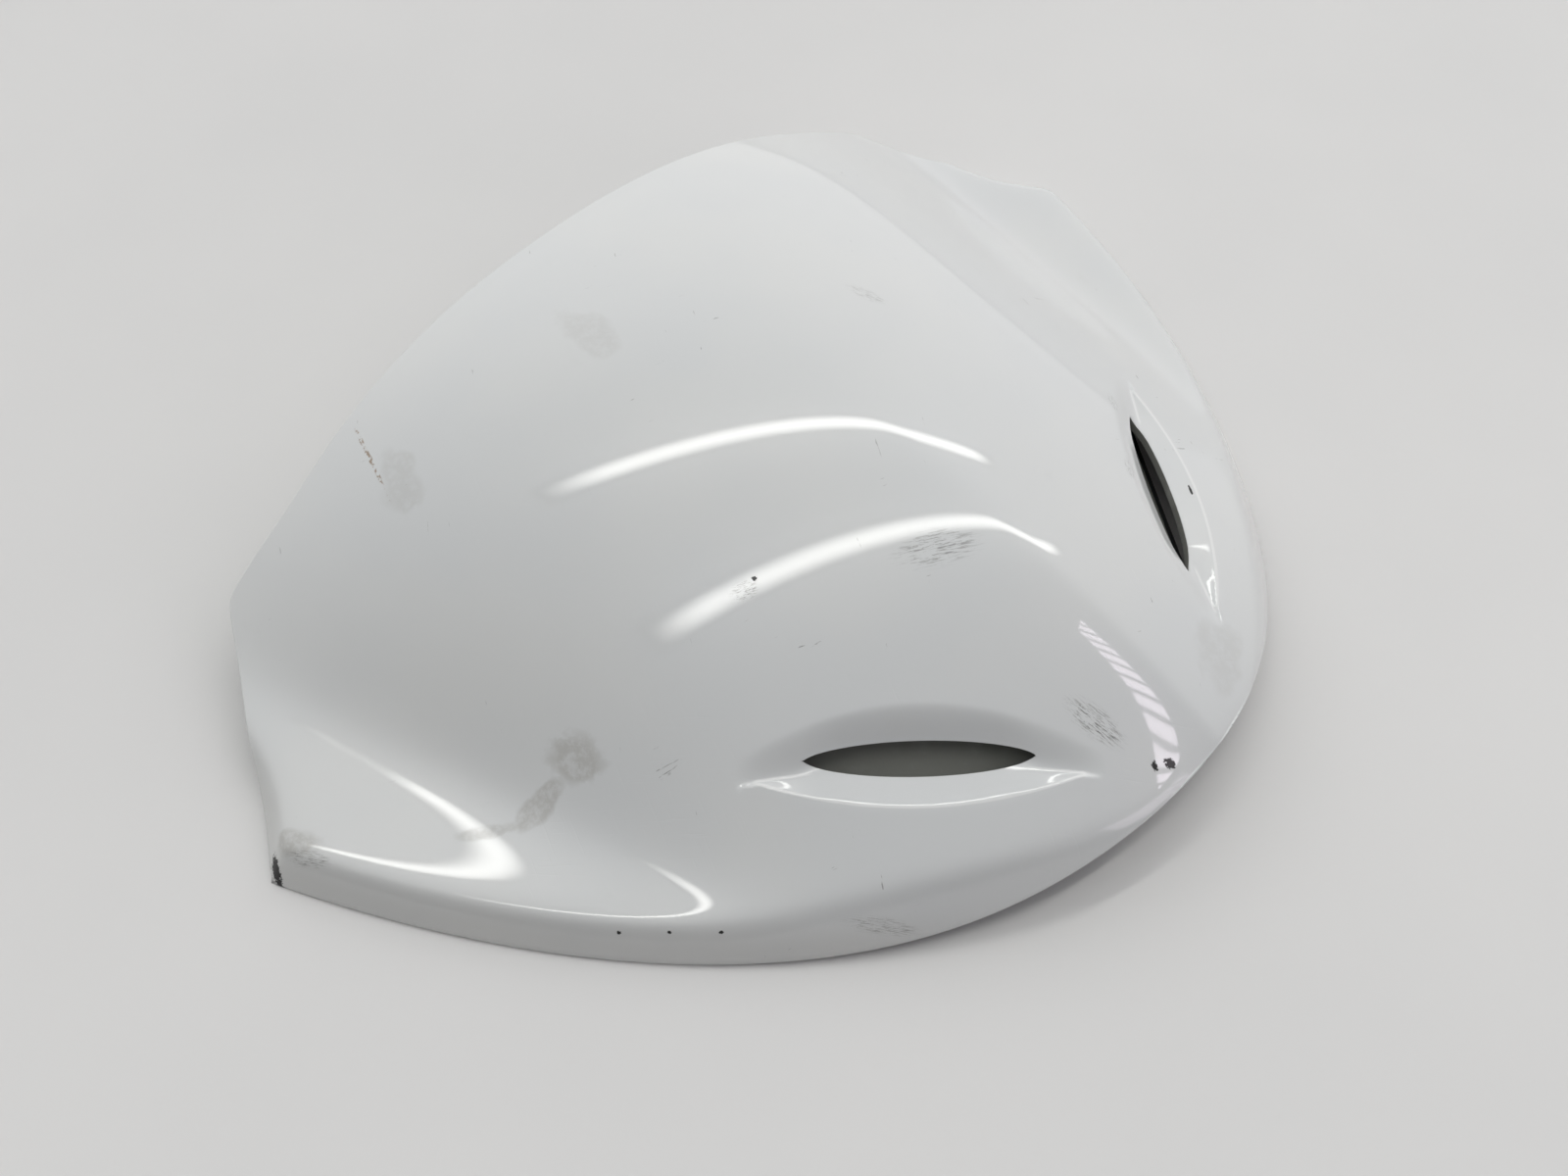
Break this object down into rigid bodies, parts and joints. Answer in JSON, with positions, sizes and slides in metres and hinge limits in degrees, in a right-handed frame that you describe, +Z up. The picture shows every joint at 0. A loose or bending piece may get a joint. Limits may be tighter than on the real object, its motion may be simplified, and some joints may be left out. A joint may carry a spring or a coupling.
{
  "type": "helmet front shell",
  "caption": "Thin domed helmet shell with a turned-down brim and a lifted nose, lens-shaped vent slots with sliding shutters behind them, a foam liner and threaded mounting bosses.",
  "frame": {"origin": "on the plane the brim stands on, under the middle of the shell's length and breadth", "axes": "+X towards the nose of the shell, +Y to the wearer's left, +Z up"},
  "size_m": [0.1873, 0.2774, 0.0521],
  "materials": {
    "shell": "gloss",
    "liner_foam": "matte",
    "boss": "satin",
    "insert": "satin",
    "frame": "matte",
    "screen": "satin",
    "shutter": "satin",
    "tab": "matte",
    "screw": "satin"
  },
  "bodies": {
    "shell": {"outer_shell": "shell", "impact_liner": "liner_foam", "mount_boss_rear_left": "boss", "mount_boss_rear_right": "boss", "mount_boss_nose": "boss", "threaded_insert_rear_left": "insert", "threaded_insert_rear_right": "insert", "threaded_insert_nose": "insert", "vent_bosses_left": "boss", "vent_bosses_right": "boss", "vent_frame_left": "frame", "vent_frame_right": "frame", "ember_screen_left": "screen", "ember_screen_right": "screen", "frame_screws_left": "screw", "frame_screws_right": "screw"},
    "left_shutter": {"vent_shutter_left": "shutter", "shutter_tab_left": "tab"},
    "right_shutter": {"vent_shutter_right": "shutter", "shutter_tab_right": "tab"}
  },
  "joints": [
    {"name": "left_vent_slide", "type": "slide", "parent": "shell", "child": "left_shutter", "axis": [-0.5883, -0.6466, 0.4856], "range_m": [0, 0.011]},
    {"name": "right_vent_slide", "type": "slide", "parent": "shell", "child": "right_shutter", "axis": [-0.5883, 0.6466, 0.4856], "range_m": [0, 0.011]}
  ]
}
